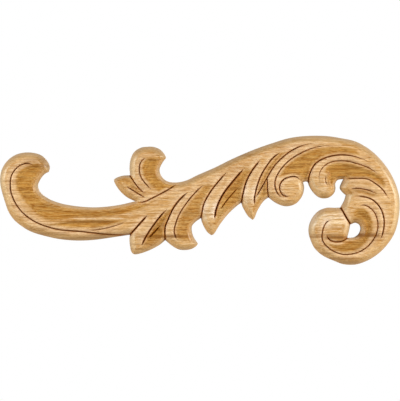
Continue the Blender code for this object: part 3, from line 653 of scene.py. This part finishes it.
def inside(points, ring):
    """Whether each point is inside the closed ring."""
    boxed = np.all((points >= ring.min(axis=0)) & (points <= ring.max(axis=0)), axis=1)
    x, z = points[boxed].T
    within = np.zeros(len(x), bool)
    for a, b in zip(ring, np.roll(ring, -1, axis=0)):
        if a[1] != b[1]:
            spans = (a[1] > z) != (b[1] > z)
            cut = a[0] + (z - a[1]) * (b[0] - a[0]) / (b[1] - a[1])
            within ^= spans & (x < cut)
    found = np.zeros(len(points), bool)
    found[boxed] = within
    return found


def edge_gap(points, rings):
    """Distance of each point from the nearest edge, exact as far as CROWN_WIDTH."""
    return np.min([nearest(points, ring, CROWN_WIDTH, closed=True)[0] for ring in rings], axis=0)


def on_wood(points, rings):
    """Whether each point is inside the outline and outside the eye."""
    return inside(points, rings[0]) & ~inside(points, rings[1])


def ease(t):
    """A smooth step from 0 to 1."""
    t = np.clip(t, 0, 1)
    return t * t * (3 - 2 * t)


def quarter_round(t):
    """A quarter of a circle, rising steeply from 0 at t = 0 and level at t = 1."""
    t = np.clip(t, 0, 1)
    return np.sqrt(1 - (1 - t) ** 2)


def strength(cut, place, total):
    """How deep a groove is along its path, as a share, from the fades at its two ends."""
    share = np.ones(len(place))
    start, end = (fade * UNIT for fade in cut["fade"])
    if start:
        share = np.minimum(share, ease(place / start))
    if end:
        share = np.minimum(share, ease((total - place) / end))
    return share


def carve(points, rings):
    """Height of the front at each point, and its marks: how far it is in each kind of place.

    The marks are groove, for staining and painted shade in the grooves, hollow, for staining and
    painted shade in the hollows, rib, for a painted highlight beside the grooves, rim, which is 1
    at the edge, and beside, near a hollow.
    """
    edge = edge_gap(points, rings)
    rim = np.clip(1 - edge / ROUNDOVER_WIDTH, 0, 1)
    crown = CROWN_RISE * (1 - ease(edge / CROWN_WIDTH))
    loss = (THICKNESS * (1 - EDGE_SHARE) - CROWN_RISE) * rim ** 2 + crown
    hollows = np.zeros(len(points))
    beside = np.zeros(len(points))
    for hollow in HOLLOWS.values():
        ring = closed_loop(hollow["runs"])
        bank = hollow["bank"] * UNIT
        within = inside(points, ring)
        gap = nearest(points, ring, max(bank, BESIDE_REACH), closed=True)[0]
        depth = np.where(within, gap, -gap)
        scoop = HOLLOW_DEPTH * hollow["deep"] * ease(depth / bank)
        loss = np.where(within, np.maximum(loss, scoop + crown), loss)
        # Staining in the hollow, and painted shade.
        stain_and_shade = min(1, hollow["deep"] + STAIN_AND_SHADE_EXTRA) * ease((depth + STAIN_AND_SHADE_SPREAD) / STAIN_AND_SHADE_BANK)
        hollows = np.maximum(hollows, stain_and_shade)
        beside = np.maximum(beside, ease((depth + BESIDE_REACH) / BESIDE_BANK))
    cuts = np.zeros(len(points))
    groove_stain_and_shade = np.zeros(len(points))
    rib_highlight = np.zeros(len(points))
    for cut in CUTS.values():
        gap, side, place, beyond, total = nearest(points, cut_line(cut), RIB_HIGHLIGHT_WIDTH)
        share = strength(cut, place, total)
        near = np.clip(1 - beyond / SHOULDER_WIDTH, 0, 1)
        ribs = {"L": side > 0, "R": side < 0, "B": side != 0}[cut["rib"]]
        shoulder = SHOULDER_DROP * share * near * (1 - quarter_round(gap / SHOULDER_WIDTH))
        loss = np.where(ribs, np.maximum(loss, shoulder + crown), loss)
        deep = share * cut["deep"]
        cuts = np.maximum(cuts, deep - gap / GROOVE_HALF_WIDTH)
        # Staining in the groove, and painted shade.
        groove_stain_and_shade = np.maximum(groove_stain_and_shade, deep - gap / GROOVE_STAIN_AND_SHADE_WIDTH)
        # A painted highlight on the rib beside the groove, strongest next to it.
        rib_highlight = np.maximum(rib_highlight, deep * ease(1 - gap / RIB_HIGHLIGHT_WIDTH))
    height = np.maximum(THICKNESS - loss - GROOVE_DEPTH * cuts, LEAST_WOOD)
    marks = {"groove": groove_stain_and_shade, "hollow": hollows, "rib": rib_highlight * (1 - hollows), "rim": rim,
             "beside": beside}
    return height, marks


def spaced(candidates, taken, spacing):
    """The candidates, in order, that keep their spacing from all points already taken."""
    grid = {}
    for x, z in taken:
        grid.setdefault((int(x // spacing), int(z // spacing)), []).append((x, z))
    kept = []
    for x, z in candidates:
        i, j = int(x // spacing), int(z // spacing)
        cells = [grid.get((i + di, j + dj), ()) for di in (-1, 0, 1) for dj in (-1, 0, 1)]
        if not any((x - qx) ** 2 + (z - qz) ** 2 < spacing * spacing
                   for cell in cells for qx, qz in cell):
            grid.setdefault((i, j), []).append((x, z))
            kept.append((x, z))
    return kept


def left_of(along):
    """The unit vectors square to the given directions, on their left."""
    along = along / np.linalg.norm(along, axis=1)[:, None]
    return np.column_stack([-along[:, 1], along[:, 0]])


def front_points(rings):
    """All points of the front, the edges that its triangles keep, and the number of the points
    that make up the rings, which come first.

    After the rings come the grooves, rows beside them and round the hollows, rows along the
    rim, and a grid.
    """
    points = [tuple(p) for ring in rings for p in ring]
    edges = []
    border = 0
    for ring in rings:
        count = len(ring)
        edges.extend((border + k, border + (k + 1) % count) for k in range(count))
        border += count

    sides = []
    for cut in CUTS.values():
        line = even_curve(cut_line(cut), GROOVE_STEP)
        good = on_wood(line, rings) & (edge_gap(line, rings) > CUT_MARGIN)
        free = set(spaced([tuple(p) for p in line[good]], points, CUT_GAP))
        last = None
        for point in map(tuple, line):
            if point not in free:
                last = None
                continue
            points.append(point)
            if last is not None:
                edges.append((last, len(points) - 1))
            last = len(points) - 1
        total = np.linalg.norm(np.diff(line, axis=0), axis=1).sum()
        across = left_of(np.gradient(line, axis=0))
        share = strength(cut, np.linspace(0, total, len(line)), total) * cut["deep"]
        wide = np.maximum(share, LEAST_ROW_SHARE) * GROOVE_HALF_WIDTH
        for row in GROOVE_ROWS:
            for sign in (1, -1):
                sides.extend(line + sign * row * wide[:, None] * across)
    for hollow in HOLLOWS.values():
        ring = closed_loop(hollow["runs"])
        sides.extend(even_curve(np.vstack([ring, ring[:1]]), GROOVE_STEP))

    rim = []
    for row in RIM_ROWS:
        for ring in rings:
            after = np.roll(ring, -1, axis=0)
            for sign in (1, -1):
                rim.extend((ring + after) / 2 + sign * row * left_of(after - ring))

    low, high = rings[0].min(axis=0), rings[0].max(axis=0)
    grid = []
    for j, z in enumerate(np.arange(low[1], high[1], GRID_STEP * math.sqrt(3) / 2)):
        for x in np.arange(low[0] + (j % 2) * GRID_STEP / 2, high[0], GRID_STEP):
            grid.append((x, z))

    for found, margin, gap in (
        (sides, ROW_MARGIN, ROW_GAP),
        (rim, RIM_MARGIN, ROW_GAP),
        (grid, GRID_MARGIN, GRID_GAP),
    ):
        found = np.asarray(found)
        good = on_wood(found, rings) & (edge_gap(found, rings) > margin)
        points.extend(spaced([tuple(p) for p in found[good]], points, gap))
    return points, edges, border


def triangles_inside(points, edges, rings):
    """Triangles over the points that keep the edges, only those inside the outline."""
    flat = [Vector(p) for p in points]
    made, _, faces, *_ = delaunay_2d_cdt(flat, edges, [], 0, MERGED)
    made = np.array([(p.x, p.y) for p in made])
    faces = np.array([f for f in faces if len(f) == 3])
    middle = made[faces].mean(axis=1)
    return made, faces[on_wood(middle, rings)]


def carving():
    """The whole piece as one closed mesh, with the marks for the oak kept on its points."""
    rings = [closed_loop(runs) for runs in (OUTLINE, EYE)]
    points, edges, border = front_points(rings)
    flat, faces = triangles_inside(points, edges, rings)
    height, marks = carve(flat, rings)
    rim_edges = [e for e in edges if max(e) < border]
    back_flat, back_faces = triangles_inside(points[:border], rim_edges, rings)

    verts = np.vstack([
        np.column_stack([flat[:, 0], -height, flat[:, 1]]),
        np.column_stack([back_flat[:, 0], np.zeros(len(back_flat)), back_flat[:, 1]]),
    ])
    start = len(flat)
    span = flat[faces[:, 1]] - flat[faces[:, 0]]
    other = flat[faces[:, 2]] - flat[faces[:, 0]]
    turned = span[:, 0] * other[:, 1] - span[:, 1] * other[:, 0] <= 0
    faces[turned] = faces[turned][:, ::-1]
    front = [tuple(map(int, f)) for f in faces]
    back = [tuple(int(k) + start for k in f[::-1]) for f in back_faces]
    walls = [(start + a, start + b, b, a) for a, b in rim_edges]
    data = bpy.data.meshes.new("carving")
    data.from_pydata(verts.tolist(), [], front + back + walls)
    data.validate()
    made = bpy.data.objects.new("carving", data)
    bpy.context.scene.collection.objects.link(made)
    for name, values in marks.items():
        kept = data.attributes.new(name, "FLOAT", "POINT")
        values = np.r_[values, np.zeros(len(back_flat))]
        kept.data.foreach_set("value", values.astype(np.float32))
    data.shade_smooth()
    data.set_sharp_from_angle(angle=math.radians(SHARP_DEGREES))
    return made


def linear(code):
    """The linear colour of a six-figure sRGB code."""
    parts = [int(code[k:k + 2], 16) / 255 for k in (0, 2, 4)]
    return [p / 12.92 if p <= 0.04045 else ((p + 0.055) / 1.055) ** 2.4 for p in parts] + [1.0]


OAK = {name: linear(code) for name, code in COLOURS.items()}


class Nodes:
    """Short calls that add nodes to a material and hand back their outputs."""

    def __init__(self, tree):
        self.tree = tree

    def add(self, kind, values=(), output=0, **settings):
        """A node with its settings, and with its inputs linked or set by index or name."""
        made = self.tree.nodes.new(kind)
        for name, value in settings.items():
            setattr(made, name, value)
        for key, value in dict(values).items():
            self.put(made.inputs[key], value)
        return made.outputs[output]

    def put(self, socket, value):
        """Links the socket to an output, or sets it to a plain value."""
        if isinstance(value, bpy.types.NodeSocket):
            self.tree.links.new(value, socket)
        else:
            socket.default_value = value

    def math(self, operation, *values):
        return self.add("ShaderNodeMath", enumerate(values), operation=operation)

    def step(self, value, low, high, start=0.0, end=1.0):
        """Smoothly from start to end while value goes from low to high."""
        inputs = {"Value": value, "From Min": low, "From Max": high, "To Min": start,
                  "To Max": end}
        return self.add("ShaderNodeMapRange", inputs, interpolation_type="SMOOTHSTEP")

    def ramp(self, value, name):
        """A ramp of RAMPS over the value."""
        return self.step(value, *RAMPS[name])

    def mix(self, share, a, b, blend="MIX"):
        inputs = {0: share, 6: a, 7: b}
        return self.add("ShaderNodeMix", inputs, output=2, data_type="RGBA", blend_type=blend)

    def noise(self, place, detail, roughness=0.5):
        inputs = {"Vector": place, "Scale": 1.0, "Detail": detail, "Roughness": roughness}
        return self.add("ShaderNodeTexNoise", inputs)

    def stretch(self, place, scale, offset=(0, 0, 0)):
        """The place scaled along each axis, then moved."""
        moved = self.add("ShaderNodeVectorMath", {0: place, 1: scale}, operation="MULTIPLY")
        return self.add("ShaderNodeVectorMath", {0: moved, 1: offset}, operation="ADD")

    def axes(self, vector):
        """The X, Y and Z of a vector."""
        return self.add("ShaderNodeSeparateXYZ", {0: vector}).node.outputs


def grain(n, drawn):
    """The sway of the grain, and the patterns of GRAIN that follow it, by name."""
    wander = n.noise(n.stretch(drawn, SWAY_SCALE), 2)
    sway = n.math("MULTIPLY", n.math("SUBTRACT", wander, 0.5), SWAY_HEIGHT)
    lift = n.add("ShaderNodeCombineXYZ", {"Z": sway})
    swayed = n.add("ShaderNodeVectorMath", {0: drawn, 1: lift}, operation="ADD")
    patterns = {}
    for name, (scale, offset, detail, roughness) in GRAIN.items():
        patterns[name] = n.noise(n.stretch(swayed, scale, offset), detail, roughness)
    return sway, patterns


def figured(n, patterns, marks):
    """The colour of the wood with a painted highlight on the ribs beside the grooves, the layers
    of its figure, and staining and painted shade in the hollows.
    """
    deep = n.ramp(patterns["broad"], "deep_ground")
    colour = n.mix(deep, OAK["ground"], OAK["deep_ground"])
    colour = n.mix(n.math("MULTIPLY", marks["rib"], RIB_HIGHLIGHT_SHARE), colour, OAK["rib"])
    for name, out, full, power, in_hollows, layer in LAYERS:
        ends = (0.0, 1.0) if out < full else (1.0, 0.0)
        share = n.step(patterns[name], min(out, full), max(out, full), *ends)
        weight = n.math("ADD", n.math("MULTIPLY", marks["hollow"], in_hollows), power)
        colour = n.mix(n.math("MULTIPLY", share, weight), colour, OAK[layer])
    stained_and_shaded = n.mix(1.0, colour, OAK["hollow_stain_and_shade"], "MULTIPLY")
    # The rim beside a hollow takes the hollow's staining and painted shade as well, except along
    # the edge itself.
    lip = n.math("MULTIPLY", n.ramp(marks["rim"], "lip_start"), n.ramp(marks["rim"], "lip_end"))
    lip = n.math("MULTIPLY", lip, marks["beside"])
    share = n.math("MAXIMUM", n.math("MULTIPLY", marks["hollow"], HOLLOW_SHARE), lip)
    return n.mix(share, colour, stained_and_shaded)


def painted_rim_shading(n, colour, marks, upwards):
    """The colour with painted light and shade on the rim, lighter at the sides and darker on top
    and below, and a greyer painted shade along the edge itself, each in its own tone by the way it
    faces.
    """
    under = n.ramp(upwards, "under")
    above = n.ramp(upwards, "above")
    away = n.math("SUBTRACT", 1.0, marks["beside"])
    shares = {
        "worn": n.math("MULTIPLY", n.ramp(marks["rim"], "worn"), away),
        "pale": n.ramp(marks["rim"], "pale"),
    }
    for name, share in shares.items():
        tone = n.mix(above, OAK[name + "_side"], OAK[name + "_top"])
        tone = n.mix(under, tone, OAK[name + "_underside"])
        colour = n.mix(share, colour, tone)
    return colour


def streaked(n, colour, drawn, sway):
    """The colour with the dark and light lines of STREAKS on it: grain, and in places painted
    shade and a painted highlight.
    """
    across, _, upwards = n.axes(drawn)
    upwards = n.math("ADD", upwards, n.math("MULTIPLY", sway, STREAK_SWAY))
    dark = light = 0.0
    for drawn_z, half, left, right, power in STREAKS:
        off = n.math("ABSOLUTE", n.math("SUBTRACT", upwards, DRAWN_ORIGIN[1] - drawn_z))
        line = n.step(off, STREAK_CORE * half, half, abs(power), 0.0)
        start, end = left - DRAWN_ORIGIN[0], right - DRAWN_ORIGIN[0]
        fade = STREAK_FADE * (end - start)
        line = n.math("MULTIPLY", line, n.step(across, start, start + fade))
        line = n.math("MULTIPLY", line, n.step(across, end - fade, end, 1.0, 0.0))
        if power > 0:
            dark = n.math("MAXIMUM", dark, line)
        else:
            light = n.math("MAXIMUM", light, line)
    colour = n.mix(dark, colour, OAK["dark_streak"])
    return n.mix(light, colour, n.mix(1.0, colour, STREAK_LIGHT, "MULTIPLY"))


def oak():
    """Varnished oak: grain along X, deeper colour in the hollows and brown in the grooves from
    staining and painted shade, and painted light and shade on the rim.

    The back is left raw.
    """
    material = bpy.data.materials.new("oak_varnished")
    material.use_nodes = True
    shader = material.node_tree.nodes["Principled BSDF"]
    n = Nodes(material.node_tree)
    drawn = n.stretch(n.add("ShaderNodeTexCoord", output=3), [1 / UNIT] * 3)
    _, backwards, upwards = n.axes(n.add("ShaderNodeTexCoord", output=1))
    marks = {
        name: n.add("ShaderNodeAttribute", output=2, attribute_name=name)
        for name in ("groove", "hollow", "rib", "rim", "beside")
    }
    groove = marks["groove"]
    sway, patterns = grain(n, drawn)
    pores = patterns["pores"]

    colour = figured(n, patterns, marks)
    # Painted light and shade on the rim and along the edge, by the way that they face.
    colour = painted_rim_shading(n, colour, marks, upwards)
    colour = streaked(n, colour, drawn, sway)
    # Staining and painted shade in the grooves, on their banks and then their floors.
    colour = n.mix(n.ramp(groove, "groove_bank"), colour, OAK["groove_bank"])
    colour = n.mix(n.ramp(groove, "groove_floor"), colour, OAK["groove_floor"])
    raw = n.mix(n.ramp(patterns["bands"], "raw_band"), OAK["raw"], OAK["raw_band"])
    raw = n.mix(n.ramp(pores, "raw_pore"), raw, OAK["raw_pore"])
    behind = n.ramp(backwards, "behind")
    n.put(shader.inputs["Base Color"], n.mix(behind, colour, raw))

    rough = n.math("MAXIMUM", n.ramp(pores, "rough_pore"), n.ramp(groove, "rough_groove"))
    rough = n.math("MAXIMUM", rough, n.math("MULTIPLY", behind, RAW_ROUGHNESS))
    n.put(shader.inputs["Roughness"], rough)
    shader.inputs["Specular IOR Level"].default_value = SPECULAR
    shader.inputs["Coat Roughness"].default_value = COAT_ROUGHNESS
    coat = n.ramp(groove, "coat_in_groove")
    coat = n.math("MULTIPLY", coat, n.ramp(marks["hollow"], "coat_in_hollow"))
    coat = n.math("MULTIPLY", coat, n.ramp(behind, "coat_on_back"))
    n.put(shader.inputs["Coat Weight"], coat)

    # Sunken pores and fine fibres all over, and saw marks on the back.
    fibres = n.math("MULTIPLY", patterns["fine"], FIBRE_RELIEF)
    relief = n.math("ADD", n.ramp(pores, "sunken_pore"), fibres)
    saw = n.math("MULTIPLY", n.noise(n.stretch(drawn, *SAW_MARKS), 2), behind)
    relief = n.math("ADD", relief, n.math("MULTIPLY", saw, SAW_RELIEF))
    inputs = {"Strength": BUMP_STRENGTH, "Distance": BUMP_HEIGHT, "Height": relief}
    n.put(shader.inputs["Normal"], n.add("ShaderNodeBump", inputs))
    return material


def stage_floor():
    """A pale floor below the ornament, out of the photograph's frame."""
    material = bpy.data.materials.new("floor")
    material.use_nodes = True
    shader = material.node_tree.nodes["Principled BSDF"]
    shader.inputs["Base Color"].default_value = FLOOR_COLOUR
    shader.inputs["Roughness"].default_value = FLOOR_ROUGHNESS
    data = bpy.data.meshes.new("floor")
    data.from_pydata([(x, y, FLOOR_Z) for x, y in FLOOR_CORNERS], [], [(0, 1, 2, 3)])
    data.materials.append(material)
    floor = bpy.data.objects.new("floor", data)
    bpy.context.scene.collection.objects.link(floor)


def soft_box(name, place, size, power):
    """A square area light that looks at the ornament."""
    data = bpy.data.lights.new(name, "AREA")
    data.size = size
    data.energy = power
    lamp = bpy.data.objects.new(name, data)
    lamp.location = place
    lamp.rotation_euler = Vector([-p for p in place]).to_track_quat("-Z", "Y").to_euler()
    bpy.context.scene.collection.objects.link(lamp)


def studio():
    """A white surround to look at, a dimmer one to light by, and soft boxes."""
    world = bpy.data.worlds.new("studio")
    world.use_nodes = True
    bpy.context.scene.world = world
    n = Nodes(world.node_tree)
    back = world.node_tree.nodes["Background"]
    back.inputs["Color"].default_value = (1.0, 1.0, 1.0, 1.0)
    seen = n.add("ShaderNodeLightPath", output=0)
    n.put(back.inputs["Strength"], n.step(seen, 0.0, 1.0, SURROUND_LIGHT, 1.0))
    for lamp in LAMPS:
        soft_box(*lamp)
    bpy.context.scene.view_settings.view_transform = "Standard"


def camera():
    """Straight on from the front, a long lens, framed as in the photograph."""
    data = bpy.data.cameras.new("camera")
    data.sensor_width = SENSOR_WIDTH
    data.lens = SENSOR_WIDTH * (CAMERA_AWAY - THICKNESS * EDGE_SHARE) / (FRAME_WIDTH * UNIT)
    data.clip_start = CLIP_START
    view = bpy.data.objects.new("camera", data)
    x, z = to_metres([FRAME_MIDDLE])[0]
    view.location = (x, -CAMERA_AWAY, z)
    view.rotation_euler = (math.pi / 2, 0.0, 0.0)
    bpy.context.scene.collection.objects.link(view)
    bpy.context.scene.camera = view


camera()
studio()
stage_floor()
piece = carving()
piece.data.materials.append(oak())
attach(piece, "root")
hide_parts("acanthus_applique")
